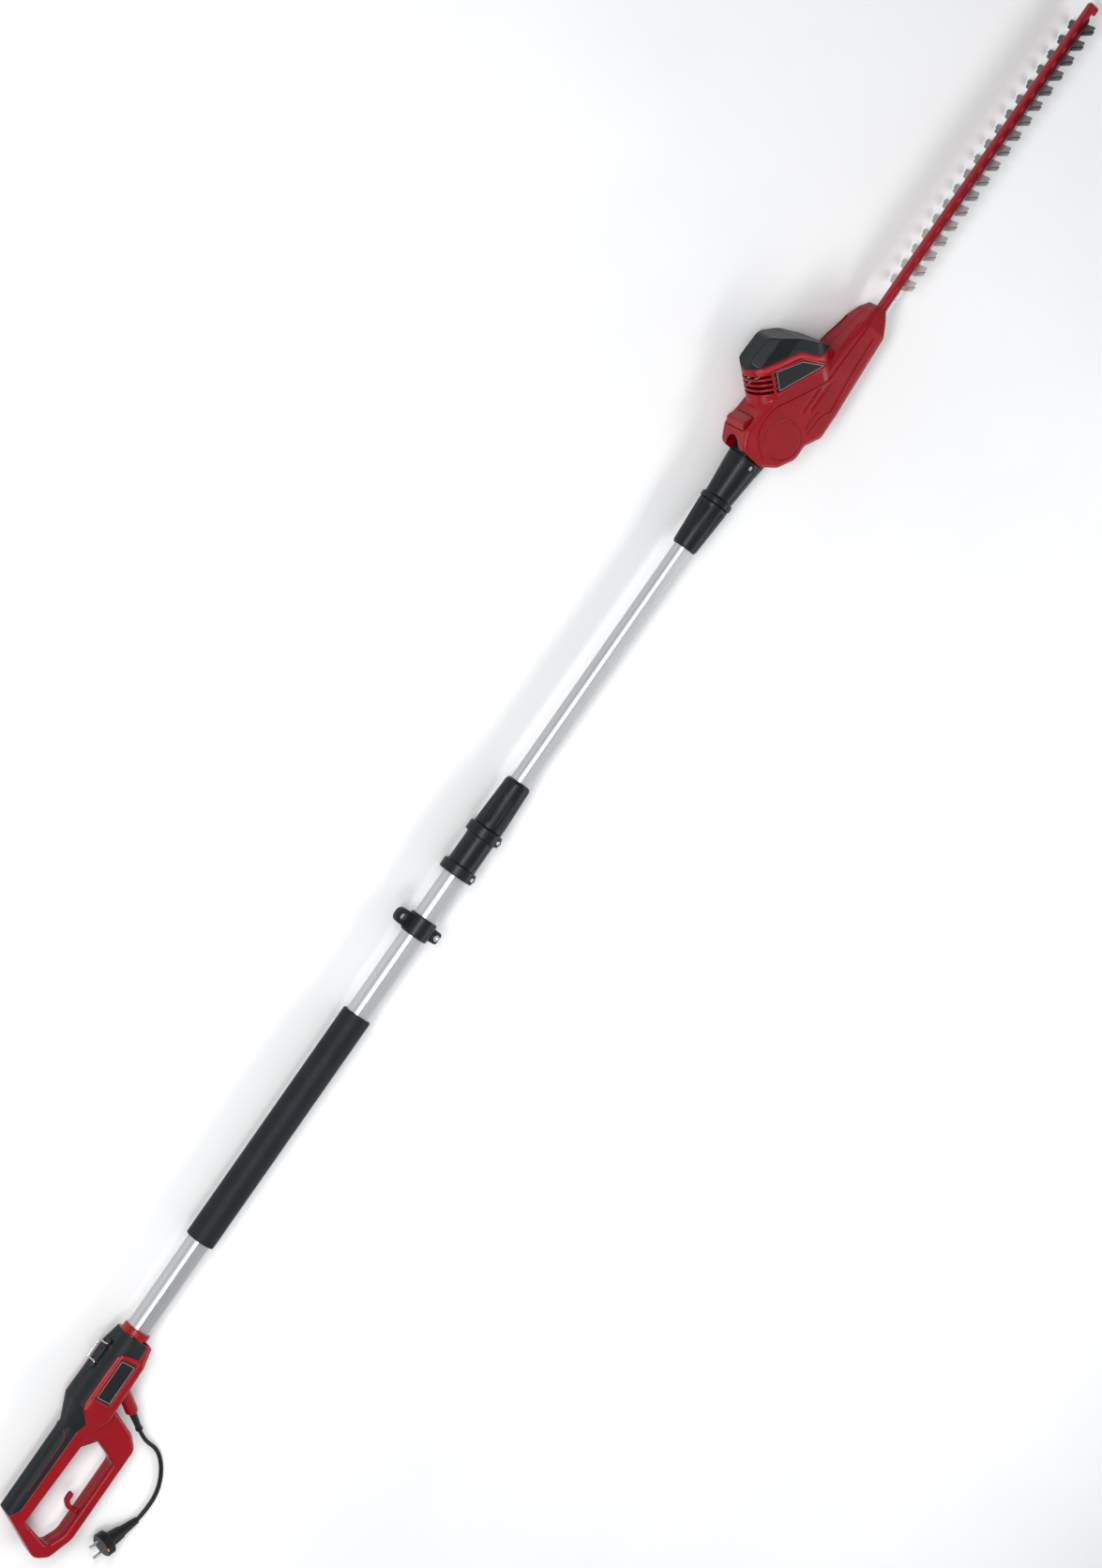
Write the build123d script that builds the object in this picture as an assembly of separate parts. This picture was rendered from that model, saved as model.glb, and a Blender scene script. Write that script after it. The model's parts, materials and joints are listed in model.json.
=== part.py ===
from build123d import *
import os
from math import acos, atan2, cos, degrees, pi, radians, sin, sqrt, tan

# Pole hedge trimmer.  Design frame in millimetres: X runs along the pole from the handle to the
# blade tip and is zero under the rear of the grip, Y points to the tool's top, Z to its right side.
# The pole's axis is y = z = 0.  The tool lies on its left side, so the floor is at z = -SIDE.
# The written parts are shifted so that the origin is the bottom centre of everything but the lead.

os.makedirs("parts", exist_ok=True)

# ---- housings -------------------------------------------------------------------------------
SIDE = 33.0              # half width of the handle housing and of the head
WALL = 3.0               # moulded wall
SKIN = 2.0               # soft overmoulded layer on the handle
GAP = 0.4                # clearance between pieces that move against each other
RUN = 0.05               # radial running fit of pins and shafts

# ---- handle ---------------------------------------------------------------------------------
NOSE_X = 317.0           # front of the black housing
COLLAR_X = 329.0         # front of the red nose collar
COLLAR_R = 21.5
FRAME_HALF = 15.5        # half width of the D frame
GRIP_HALF = 17.0
GRIP_TOP = 16.0
RAIL_LOW = -109.0
TRIGGER_HALF = 6.5
TRIGGER_PIVOT = (92.0, -14.0)
TRIGGER_TURN = 4.5       # degrees
LOCK_OFF = (150.0, 4.0)  # place of the lock-off button on the left side
LOCK_OFF_R = 6.0
LOCK_OFF_TRAVEL = 3.0
RING_Y = 29.0            # pivot height of the wire strap ring
RING_X = (257.0, 287.0)
RING_WIRE_R = 1.25
RING_RISE = 13.5
RING_LEAN = 50.0         # the ring hangs this far towards the floor side

# ---- lead and plug --------------------------------------------------------------------------
LEAD_R = 3.25
EXIT = (198.0, -112.0, -12.0)
EXIT_DIR = Vector(-0.473, -0.848, -0.237).normalized()
PROTECTOR_LENGTH = 51.0
GLAND_R = 10.0
FLOOR_LEAD_Z = -SIDE + LEAD_R + 0.15
PLUG_TAIL = (74.0, -213.0, -27.2)
PLUG_CENTRE = (25.0, -179.5, -13.2)
PLUG_R = 18.9
PIN_R = 2.4
PIN_SPACING = 19.0
PIN_LENGTH = 19.0

# ---- pole -----------------------------------------------------------------------------------
OUTER_R = 18.0
OUTER_FLAT = 15.4        # half distance over the two flats that stop the tubes turning
OUTER_WALL = 1.2
INNER_R = 15.0
INNER_FLAT = 13.2
INNER_WALL = 1.2
OUTER_X = (235.0, 1190.0)
INNER_X = (1086.0, 1776.0)
FOAM_X = (482.5, 879.0)
FOAM_R = 22.8
CLAMP_X = (1017.5, 1048.5)
EYE_Y = 34.0
EYE_R = 5.25
SLEEVE_X = (1123.0, 1205.0)
SLEEVE_R = 22.3
SLEEVE_RING_R = 27.4
SLEEVE_RING = 17.2       # length of each end ring
NUT_X = (1205.4, 1286.0)
NUT_R = (22.9, 20.2)
COUPLING_X = (1697.0, 1774.0)
COUPLING_R = (19.4, 23.6)
SLIDE_TRAVEL = 390.0

# ---- head -----------------------------------------------------------------------------------
PIVOT = (1903.4, -11.3)
BARREL_R = 36.0          # the neck's round end about the tilt pivot
BARREL_HALF = 29.0
DETENT_STEP = 15.0
DETENTS = 7
LEAN = 52.0              # slope of the motor housing's axis above the pole, degrees
CAP_JOINT = ((1958.0, 90.0), (2019.0, 51.0), (2032.0, 19.0), (2064.0, -1.5))
SNOUT_X = 2144.0
MOTOR_X = 2001.0
BUTTON_TRAVEL = 4.0
BUTTON_CAP = [(1880, 42), (1880, 47), (1887, 54), (1892, 54), (1904, 46.5), (1904, 42)]
BUTTON_HALF = 23.0
COVER = 1.3              # thickness of the round covers over the tilt pivot
COVER_R = 29.0

# ---- drive ----------------------------------------------------------------------------------
MODULE = 1.5
GEAR_TEETH = 34
PINION_TEETH = 8
CRANK_X = MOTOR_X - MODULE * (GEAR_TEETH + PINION_TEETH) / 2
CRANK_THROW = 8.0
CRANK_REST = 22.0        # degrees from the dead centre line at rest
CRANK_SWING = 60.0       # the crank is shown through this far each side of mid stroke
STROKE_RATE = 0.87       # blade travel per radian of crank, as a part of the throw
ECCENTRIC_R = 14.0
YOKE_CLEAR = 0.5
GEAR_Y = (-41.0, -33.0)
UPPER_Y = (-49.2, -47.2)
LOWER_Y = (-51.4, -49.4)

# ---- blades ---------------------------------------------------------------------------------
TEETH = 18
PITCH = 26.4
FIRST_TOOTH_X = 2186.0
STRIP_HALF = 9.5
TOOTH_TIP_Z = 31.0
TOOTH_ROOT = 13.0
TOOTH_TIP = 6.6
BAR_X = (2046.0, 2681.0)
BAR_HALF = 6.5
BAR_Y = (-47.0, -37.4)
BOLT_XS = (2070.0, 2118.0, 2239.0, 2371.0, 2503.0, 2635.0)
BOLT_R = 2.5
HALF_STROKE = CRANK_THROW * STROKE_RATE * radians(CRANK_SWING)
REST_SHIFT = CRANK_THROW * STROKE_RATE * radians(CRANK_REST)


# ---- shape helpers --------------------------------------------------------------------------
def outline(points, radii):
    """Closed outline with rounded corners."""
    return make_face(FilletPolyline(*points, radius=radii, close=True))


def polygon(points):
    return make_face(Polyline(*points, close=True))


def slab(face, low, high):
    """A side-view face carried across the tool from z = low to z = high."""
    return extrude(Pos(0, 0, low) * face, amount=high - low, dir=(0, 0, 1))


def soft_slab(face, half, radius):
    """A slab with its two rims rounded."""
    solid = slab(face, -half, half)
    rims = solid.faces().sort_by(Axis.Z)[-1].edges() + solid.faces().sort_by(Axis.Z)[0].edges()
    return fillet(rims, radius)


def rod(start, end, radius, end_radius=None):
    """A round bar between two points, tapered when it has a second radius."""
    start = Vector(*start)
    run = Vector(*end) - start
    plane = Plane(origin=start, z_dir=run)
    if end_radius is None or end_radius == radius:
        return Part() + Solid.make_cylinder(radius, run.length, plane)
    return Part() + Solid.make_cone(radius, end_radius, run.length, plane)


def pipe(start, end, radius, bore):
    return rod(start, end, radius) - rod(start, end, bore)


def turned(points):
    """Solid of revolution about the pole's axis from (x, radius) corners."""
    return revolve(polygon(points), axis=Axis.X)


def block(x, y, z):
    """A box between two values on each axis."""
    size = (x[1] - x[0], y[1] - y[0], z[1] - z[0])
    return Pos((x[0] + x[1]) / 2, (y[0] + y[1]) / 2, (z[0] + z[1]) / 2) * Box(*size)


def column(x, z, low, high, radius):
    """An upright cylinder along Y."""
    return rod((x, low, z), (x, high, z), radius)


def cross_pin(x, y, low, high, radius):
    """A cylinder across the tool, along Z."""
    return rod((x, y, low), (x, y, high), radius)


def flatted(x0, x1, radius, flat):
    """A round bar along the pole with two flats."""
    return rod((x0, 0, 0), (x1, 0, 0), radius) & block((x0, x1), (-radius, radius), (-flat, flat))


def section(x, low, high, half, top_radius, low_radius):
    """Rounded cross-section of the handle at one station."""
    corners = [(low, -half), (high, -half), (high, half), (low, half)]
    face = outline(corners, [low_radius, top_radius, top_radius, low_radius])
    return Plane(origin=(x, 0, 0), x_dir=(0, 1, 0), z_dir=(1, 0, 0)) * face


def through(stations, inset=0.0):
    """Ruled solid through the handle stations, drawn in by an inset."""
    faces = []
    for x, low, high, half, top_radius, low_radius in stations:
        faces.append(section(x, low + inset, high - inset, half - inset,
                             max(top_radius - inset, 1.0), max(low_radius - inset, 1.0)))
    return loft(faces, ruled=True)


def right_of(solid):
    return solid & block((-400, 3000), (-400, 400), (0, 200))


def left_of(solid):
    return solid & block((-400, 3000), (-400, 400), (-200, 0))


def screw(x, y, head_z, length, radius=1.9, head_radius=3.6):
    """A cross-head screw driven in from the left side."""
    head = cross_pin(x, y, head_z, head_z + 2.4, head_radius)
    shank = cross_pin(x, y, head_z + 2.4, head_z + length, radius)
    slot = block((x - 2.4, x + 2.4), (y - 0.5, y + 0.5), (head_z - 1, head_z + 1.2))
    cross = block((x - 0.5, x + 0.5), (y - 2.4, y + 2.4), (head_z - 1, head_z + 1.2))
    return head + shank - slot - cross


# ---- handle ---------------------------------------------------------------------------------
FRAME_POINTS = [(2, 4), (176, 4), (213, -36), (191, -90), (173, RAIL_LOW), (14, RAIL_LOW),
                (-25, -93), (-36, -72)]
FRAME_RADII = [3, 2, 10, 26, 16, 30, 16, 18]
OPENING_POINTS = [(8, -20), (142, -27), (160, -45), (141, -92), (13, -92), (-11, -79)]
OPENING_RADII = [10, 14, 6, 10, 20, 9]
BLACK_EDGE = [(-40, 60), (-40, 9.5), (2, 9.5), (20, -3), (175, -5), (194, 18), (203, 21),
              (284, 20), (291, 13), (294, -13), (NOSE_X, -13), (NOSE_X, 60)]
GRIP_STATIONS = [(-30, -22, GRIP_TOP, GRIP_HALF, 13, 6), (165, -29, GRIP_TOP, GRIP_HALF, 13, 6)]
FRONT_STATIONS = [(158, -27, GRIP_TOP, GRIP_HALF, 13, 7), (196, -33.5, 30.5, SIDE, 23, 9),
                  (288, -30, 28.5, SIDE, 23, 9), (NOSE_X, -25.5, 24, 27, 20, 9)]
HANDLE_SCREWS = ((24, -100), (158, -96), (203, 8), (282, -22), (2, -26), (60, 6))


def frame_solid(inset):
    """The D frame with its hand opening."""
    face = offset(outline(FRAME_POINTS, FRAME_RADII), amount=-inset) if inset else \
        outline(FRAME_POINTS, FRAME_RADII)
    hole = offset(outline(OPENING_POINTS, OPENING_RADII), amount=inset) if inset else \
        outline(OPENING_POINTS, OPENING_RADII)
    if inset:
        return slab(face - hole, -FRAME_HALF + inset, FRAME_HALF - inset)
    return soft_slab(face - hole, FRAME_HALF, 5.0)


def grip_solid(inset):
    """The grip bar, cut off along the slanting rear face."""
    rear = polygon([(9 + inset, 60), (9 + inset, 18), (-12 + inset, -24), (-12 + inset, -60),
                    (200, -60), (200, 60)])
    return through(GRIP_STATIONS, inset) & slab(rear, -50, 50)


def gland_boss(radius):
    """The boss on the underside that holds the bend protector."""
    mouth = Vector(*EXIT) - EXIT_DIR * (PROTECTOR_LENGTH - 6.0)
    root = mouth - EXIT_DIR * 64.0
    return rod(root, mouth, radius)


def handle_envelope(inset=0.0):
    body = frame_solid(inset) + grip_solid(inset) + through(FRONT_STATIONS, inset)
    if inset:
        return body
    collar = rod((NOSE_X - 6, 0, 0), (COLLAR_X, 0, 0), COLLAR_R)
    collar = fillet(collar.faces().sort_by(Axis.X)[-1].edges(), 2.0)
    hook_path = [(52, -96), (53, -77), (60, -69.5), (70, -69)]
    hook = slab(trace(FilletPolyline(*hook_path, radius=[6, 5]), line_width=7.5), -4.0, 4.0)
    hook = hook + cross_pin(70, -69, -4.0, 4.0, 3.75)
    return body + collar + hook + gland_boss(GLAND_R)


def handle_openings():
    """Everything that is cut out of the moulded handle."""
    trigger_window = slab(offset(polygon(TRIGGER_WINDOW), amount=0.6), -TRIGGER_HALF - GAP,
                          TRIGGER_HALF + GAP)
    button = cross_pin(*LOCK_OFF, -40, 0, LOCK_OFF_R + GAP)
    tube = flatted(OUTER_X[0], 400, OUTER_R, OUTER_FLAT)
    protector = rod(Vector(*EXIT) - EXIT_DIR * 80, EXIT, 6.6)
    ring = block((RING_X[0] - 9, RING_X[1] + 9), (23.5, 40), (-6, 6))
    for x in RING_X:
        ring = ring + block((x - 2.2, x + 2.2), (26.0, 40), (-13, 13))
    plate = block((216, 285), (-13.2, 13.2), (SIDE - 1.2, SIDE + 5))
    return trigger_window + button + tube + protector + ring + plate


def soft_skin():
    skin = (ENVELOPE - handle_envelope(SKIN)) & slab(polygon(BLACK_EDGE), -60, 60)
    return skin - OPENINGS


def make_handle():
    skin = soft_skin()
    shell = ENVELOPE - handle_envelope(SKIN + WALL) - slab(polygon(BLACK_EDGE), -60, 60)
    shell = shell + ((handle_envelope(SKIN) - handle_envelope(SKIN + WALL))
                     & slab(polygon(BLACK_EDGE), -60, 60))
    for x, y in HANDLE_SCREWS:
        shell = shell + (cross_pin(x, y, -30, 30, 4.6) & HOLLOW)
    shell = shell - OPENINGS
    for x, y in HANDLE_SCREWS:
        head_z = screw_head_z(x)
        shell = shell - cross_pin(x, y, -40, head_z + 2.4, 3.7) - cross_pin(x, y, head_z, head_z + 22, 1.95)
        skin = skin - cross_pin(x, y, -40, head_z + 2.4, 3.7)
    write("handle_shell_right", right_of(shell) + (left_of(shell) & gland_boss(GLAND_R)))
    write("handle_shell_left", left_of(shell) - gland_boss(GLAND_R + 0.3))
    write("soft_grip_right", right_of(skin))
    write("soft_grip_left", left_of(skin))
    screws = [screw(x, y, screw_head_z(x), 20) for x, y in HANDLE_SCREWS]
    write("handle_screws", Compound(children=screws))


def screw_head_z(x):
    """Depth of a handle screw's head, by the width of the housing there."""
    return -SIDE + 1.5 if 190 < x < 300 else -FRAME_HALF + 1.5


TRIGGER_OUTLINE = [(84, -9), (150, -9), (168, -32), (164, -49), (157, -50), (138, -31.5), (84, -26.5)]
TRIGGER_WINDOW = [(83, -4), (150, -4), (169, -27), (165, -50), (156, -52), (137, -34), (83, -28)]


def make_controls():
    trigger = slab(polygon(TRIGGER_OUTLINE), -TRIGGER_HALF, TRIGGER_HALF)
    trigger = trigger - cross_pin(*TRIGGER_PIVOT, -20, 20, 2.0 + RUN)
    trigger = trigger - slab(polygon([(100, -4), (146, -4), (158, -28), (150, -38), (134, -25), (100, -21)]),
                             -TRIGGER_HALF + 2, TRIGGER_HALF - 2)
    write("trigger", trigger)
    write("trigger_pin", cross_pin(*TRIGGER_PIVOT, -12, 12, 2.0))
    cap = cross_pin(*LOCK_OFF, -GRIP_HALF - 2.6, -GRIP_HALF + 6, LOCK_OFF_R)
    cap = fillet(cap.faces().sort_by(Axis.Z)[0].edges(), 1.5)
    write("lock_off_button", cap)
    body = block((108, 140), (-3.5, 8.0), (-8.0, 8.0))
    terminals = block((139, 146), (-2, 3), (-7, -3)) + block((139, 146), (-2, 3), (3, 7))
    write("power_switch", body + terminals + block((120, 126), (-7.6, -3.5), (-3, 3)))
    bar = block((214, 230), (-25, -19), (2, 16)) - rod((210, -26.5, 9), (235, -26.5, 9), 3.4)
    write("cord_clamp", bar)


def make_strap_ring():
    x0, x1 = RING_X
    wire_y = RING_Y + RING_RISE
    path = FilletPolyline((x0 - 7, RING_Y), (x0, RING_Y), (x0, wire_y), (x1, wire_y), (x1, RING_Y),
                          (x1 + 7, RING_Y), radius=2.2)
    start = Plane(origin=(x0 - 7, RING_Y, 0), z_dir=(1, 0, 0))
    wire = sweep(start * Circle(RING_WIRE_R), path=path)
    lean = Pos(0, RING_Y, 0) * Rot(-RING_LEAN, 0, 0) * Pos(0, -RING_Y, 0)
    write("strap_ring", lean * wire)
    bracket = block((x0 - 9, x1 + 9), (23.5, RING_Y + 1.8), (-6, 6))
    for x in RING_X:
        bracket = bracket - block((x - 2.2, x + 2.2), (26.0, 40), (-7, 7))
    bracket = bracket - rod((x0 - 7.4, RING_Y, 0), (x1 + 7.4, RING_Y, 0), RING_WIRE_R + RUN)
    write("ring_bracket", bracket)


def make_name_plates():
    handle_plate = block((216.3, 284.7), (-12.9, 12.9), (SIDE - 1.2, SIDE - 0.2))
    write("handle_plate", handle_plate)
    face = offset(polygon(HEAD_PLATE), amount=-0.3)
    write("head_plate", slab(face, SIDE - 1.2, SIDE - 0.2))


# ---- lead and plug --------------------------------------------------------------------------
def lead_route():
    """Corners of the free lead, from the bend protector to the plug."""
    first = Vector(*EXIT) + EXIT_DIR * 26.0
    return [EXIT, tuple(first), (181.5, -170.5, -27.6), (161.0, -196.5, FLOOR_LEAD_Z),
            (131.0, -214.5, FLOOR_LEAD_Z), (98.8, -219.0, FLOOR_LEAD_Z), PLUG_TAIL]


def corner_radii(points):
    radii = []
    corners = [Vector(*p) for p in points]
    for before, here, after in zip(corners, corners[1:], corners[2:]):
        run_in, run_out = here - before, after - here
        half_turn = radians(run_in.get_angle(run_out)) / 2
        radii.append(0.45 * min(run_in.length, run_out.length) / tan(half_turn))
    return radii


def make_lead():
    points = lead_route()
    radii = corner_radii(points)
    path = FilletPolyline(*points, radius=radii)
    start = Plane(origin=points[0], z_dir=Vector(*points[1]) - Vector(*points[0]))
    lead = sweep(start * Circle(LEAD_R), path=path)
    print("lead length", round(path.length, 1), "radii", [round(r, 1) for r in radii])
    print("lead volume ratio", round(lead.volume / (pi * LEAD_R ** 2 * path.length), 4))
    write("mains_lead", lead)
    protector_root = Vector(*EXIT) - EXIT_DIR * PROTECTOR_LENGTH
    protector = rod(protector_root, EXIT, 6.3, 4.4)
    collar_start = Vector(*EXIT) - EXIT_DIR * 4.0
    protector = protector + rod(collar_start, EXIT, 5.6) + rod(protector_root - EXIT_DIR * 8, protector_root, 6.3)
    write("bend_protector", protector)


def make_plug():
    tail, centre = Vector(*PLUG_TAIL), Vector(*PLUG_CENTRE)
    along = (centre - tail).normalized()
    face = Plane(origin=centre, z_dir=along, x_dir=along.cross(Vector(0, 0, 1)))
    disc = extrude(face * (Circle(PLUG_R)), amount=7.0, both=True)
    disc = chamfer(disc.edges().filter_by(GeomType.CIRCLE), 1.6)
    neck = rod(centre - along * 30, centre - along * 6, 9.5, 12.5)
    relief = rod(tail, centre - along * 28, 4.9, 8.4)
    body = disc + neck + relief
    pins = []
    for side in (-1, 1):
        foot = (face * Pos(side * PIN_SPACING / 2, 0, 1)).position
        neck_end = (face * Pos(side * PIN_SPACING / 2, 0, 7)).position
        tip = (face * Pos(side * PIN_SPACING / 2, 0, 7 + PIN_LENGTH)).position
        pin = fillet(rod(neck_end, tip, PIN_R).faces().sort_by(Axis(centre, along))[-1].edges(), 1.0)
        pins.append(pin + rod(foot, neck_end + along, PIN_R - 0.6))
    contacts = []
    for side in (-1, 1):
        contacts.append(face * Pos(0, side * (PLUG_R - 1.0), 1.5) * Box(5.5, 1.6, 12))
    earth = Compound(children=contacts)
    for piece in pins + contacts:
        body = body - piece
    write("plug_body", body)
    write("plug_pins", Compound(children=pins))
    write("earth_contacts", earth)


# ---- pole -----------------------------------------------------------------------------------
def make_pole():
    outer = flatted(*OUTER_X, OUTER_R, OUTER_FLAT)
    outer = outer - flatted(OUTER_X[0] - 1, OUTER_X[1] + 1, OUTER_R - OUTER_WALL, OUTER_FLAT - OUTER_WALL)
    write("outer_tube", outer)
    inner = flatted(*INNER_X, INNER_R, INNER_FLAT)
    inner = inner - flatted(INNER_X[0] - 1, INNER_X[1] + 1, INNER_R - INNER_WALL, INNER_FLAT - INNER_WALL)
    write("inner_tube", inner)
    bush = flatted(1087, 1112, OUTER_R - OUTER_WALL - GAP, OUTER_FLAT - OUTER_WALL - GAP)
    write("guide_bush", bush - flatted(1086, 1113, INNER_R, INNER_FLAT))
    foam = rod((FOAM_X[0], 0, 0), (FOAM_X[1], 0, 0), FOAM_R)
    foam = fillet(foam.edges().filter_by(GeomType.CIRCLE), 2.5)
    write("foam_grip", foam - flatted(FOAM_X[0] - 1, FOAM_X[1] + 1, OUTER_R, OUTER_FLAT))


def make_strap_clamp():
    x0, x1 = CLAMP_X
    middle = (x0 + x1) / 2
    band = turned([(x0, 0), (x0, 20.6), (x0 + 2, 21.8), (x1 - 2, 21.8), (x1, 20.6), (x1, 0)])
    lug = outline([(middle - 13, 0), (middle + 13, 0), (middle + 11, 46.5), (middle - 11, 46.5)],
                  [0.5, 0.5, 9, 9])
    ears = outline([(middle - 9, -36.5), (middle + 9, -36.5), (middle + 11, 0), (middle - 11, 0)],
                   [5, 5, 0.5, 0.5])
    clamp = band + slab(lug, -4.5, 4.5) + slab(ears, -9, 9)
    clamp = clamp - flatted(x0 - 1, x1 + 1, OUTER_R + 0.3, OUTER_FLAT + 0.3)
    clamp = clamp - cross_pin(middle, EYE_Y, -10, 10, EYE_R)
    clamp = clamp - block((x0 - 1, x1 + 1), (-60, -10), (-1.2, 1.2))
    clamp = clamp - cross_pin(middle, -29, -20, 20, 3.05)
    write("strap_clamp", clamp)
    head = cross_pin(middle, -29, 9.0, 12.6, 5.0)
    head = head - slab(Pos(middle, -29) * RegularPolygon(2.3, 6), 10.2, 13)
    write("clamp_bolt", head + cross_pin(middle, -29, -12.2, 9.0, 2.95))
    nut = slab(Pos(middle, -29) * RegularPolygon(5.2, 6), -12.4, -9.0) - cross_pin(middle, -29, -20, 0, 2.95)
    write("clamp_nut_m6", nut)


def grooves(x0, x1, radius, depth, count, width):
    """Long flutes round a pole fitting."""
    cuts = []
    for index in range(count):
        angle = 360 / count * (index + 0.5)
        flute = rod((x0, radius + width * 0.3, 0), (x1, radius + width * 0.3, 0), width * 0.3 + depth)
        cuts.append(Rot(angle, 0, 0) * flute)
    return cuts


def make_telescope_joint():
    x0, x1 = SLEEVE_X
    ring_b = x1 - SLEEVE_RING
    collar = turned([(x0, 0), (x0, SLEEVE_RING_R - 1.5), (x0 + 1.5, SLEEVE_RING_R),
                     (x0 + SLEEVE_RING - 1.5, SLEEVE_RING_R), (x0 + SLEEVE_RING, SLEEVE_R + 1),
                     (x0 + SLEEVE_RING + 2, SLEEVE_R), (ring_b - 2, SLEEVE_R), (ring_b, SLEEVE_R + 1),
                     (ring_b + 1.5, SLEEVE_RING_R), (x1 - 1.5, SLEEVE_RING_R), (x1, SLEEVE_RING_R - 1.5),
                     (x1, 19.4), (1238, 19.4), (1238, 0)])
    collar = collar - flatted(x0 - 1, OUTER_X[1], OUTER_R, OUTER_FLAT)
    collar = collar - flatted(x0 - 1, 1260, INNER_R + GAP, INNER_FLAT + GAP)
    screws = []
    for x in (x0 + SLEEVE_RING / 2, x1 - SLEEVE_RING / 2):
        for side in (-1, 1):
            collar = collar + (rod((x, -12, side * 15), (x, -12, side * 26), 5.0)
                               - flatted(x0 - 1, 1260, OUTER_R + 0.2, OUTER_FLAT + 0.2))
            shank = rod((x, -12, side * 21), (x, -12, side * 26.4), 1.9)
            head = rod((x, -12, side * 24.4), (x, -12, side * 26.4), 3.2)
            collar = collar - rod((x, -12, side * 24.4), (x, -12, side * 28), 3.2) - shank
            slots = block((x - 2.2, x + 2.2), (-12.5, -11.5), (side * 26.9 - 1.5, side * 26.9 + 1.5))
            screws.append(head + shank - slots)
    write("telescope_collar", collar)
    write("collar_screws", Compound(children=screws))
    collet = pipe((1238.2, 0, 0), (1262, 0, 0), 17.6, INNER_R + GAP) - block((1236, 1263), (0, 30), (-1, 1))
    write("collet", collet)
    write("clamp_nut", fluted_nut(NUT_X, NUT_R, ((1204, 1264, 19.9), (1262, 1300, INNER_R + GAP))))


def fluted_nut(span, radii, bores):
    """A tapered hand nut with flutes; each bore is (start, end, radius)."""
    x0, x1 = span
    r0, r1 = radii
    if r0 > r1:
        nut = turned([(x0, 0), (x0, r0 - 1.2), (x0 + 1.2, r0), (x1 - 5, r1), (x1 - 1.4, r1 - 1.6),
                      (x1, r1 - 3.6), (x1, 0)])
        cuts = grooves(x0 + 9, x1 - 8, (r0 + r1) / 2, 0.7, 12, 5.0)
    else:
        nut = turned([(x0, 0), (x0, r0 - 3.0), (x0 + 1.4, r0 - 1.2), (x0 + 5, r0), (x1 - 1.2, r1),
                      (x1, r1 - 1.2), (x1, 0)])
        cuts = grooves(x0 + 8, x1 - 7, (r0 + r1) / 2, 0.7, 12, 5.0)
    for start, end, radius in bores:
        nut = nut - rod((start, 0, 0), (end, 0, 0), radius)
    for cut in cuts:
        nut = nut - cut
    return nut


def make_head_coupling():
    x0, x1 = COUPLING_X
    write("coupling_nut", fluted_nut(COUPLING_X, COUPLING_R, ((x0 - 1, x0 + 30, INNER_R + GAP),
                                                              (x0 + 29, x1 + 1, 19.6))))
    neck = turned([(1728, 0), (1728, 19.2), (1774.4, 19.2), (1774.4, 24.2), (1775.4, 25.0), (1782.6, 25.0),
                   (1783.6, 24.0), (1784.5, 22.0), (1786, 22.0), (1846, 27.3), (1853, 27.3), (1853, 0)])
    neck = neck - flatted(1700, INNER_X[1] + 0.2, INNER_R, INNER_FLAT)
    tongue = polygon([(1838, 22.0), (PIVOT[0], 22.5), (PIVOT[0], -27), (1871, -27), (1838, -22.0)])
    neck = neck + fillet(slab(tongue, -22.0, 22.0).edges().filter_by(Axis.X, tolerance=40), 10.0)
    barrel = cross_pin(*PIVOT, -BARREL_HALF, BARREL_HALF, BARREL_R)
    neck = neck + fillet(barrel.edges().filter_by(GeomType.CIRCLE), 3.0)
    for z0, z1 in ((-40, -3), (3, 40)):
        neck = neck - (cross_pin(*PIVOT, z0, z1, 31.0) - cross_pin(*PIVOT, z0, z1, 13.0))
    for index in range(DETENTS):
        angle = radians(90 - DETENT_STEP * index)
        x = PIVOT[0] + (BARREL_R + 0.8) * cos(angle)
        y = PIVOT[1] + (BARREL_R + 0.8) * sin(angle)
        neck = neck - cross_pin(x, y, -7, 7, 3.0)
    neck = neck - cross_pin(*PIVOT, -40, 40, 8.0 + RUN)
    neck = neck - rod((1776, 0, 0), (1836, 0, 0), 15.5)
    screws = []
    for side in (-1, 1):
        neck = neck - rod((1844, 0, side * 24.6), (1844, 0, side * 30), 3.7)
        head = rod((1844, 0, side * 22.4), (1844, 0, side * 24.6), 3.6)
        shank = rod((1844, 0, side * 12), (1844, 0, side * 22.4), 1.9)
        neck = neck - head - shank
        slots = block((1841.8, 1846.2), (-0.5, 0.5), (side * 25.1 - 1.5, side * 25.1 + 1.5))
        screws.append(head + shank - slots)
    write("tilt_neck", neck)
    write("neck_screws", Compound(children=screws))


# ---- head housing ---------------------------------------------------------------------------
MAIN_POINTS = [(1855, 33), (1880, 47.5), (1928, 43), (1998, 43), (1998, -65.2), (1979, -66.5),
               (1941, -67.5), (1917, -51.5), (1893, -52), (1867, -34), (1852, -8)]
MAIN_RADII = [14, 14, 3, 3, 3, 40, 16, 12, 18, 20, 34]
TOWER_POINTS = [(1916, 43), (1916, 58), (1950, 93), (1968, 101), (2008, 98), (2034, 62), (2049, 24),
                (2058, -8), (2040, -20), (1940, -10)]
TOWER_RADII = [2, 5, 10, 12, 13, 30, 30, 3, 3, 8]
CROWN = [(-30, SIDE), (64, SIDE), (86, 27), (103, 14)]
SNOUT_STATIONS = ((1990, -66, -2, SIDE, 7, 7), (2062, -64, -6, 29, 7, 7), (2110, -62, -15, 27.5, 7, 7),
                  (2131, -53, -21, 21, 6, 6), (SNOUT_X, -48, -28, 13.5, 5, 5))
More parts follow.
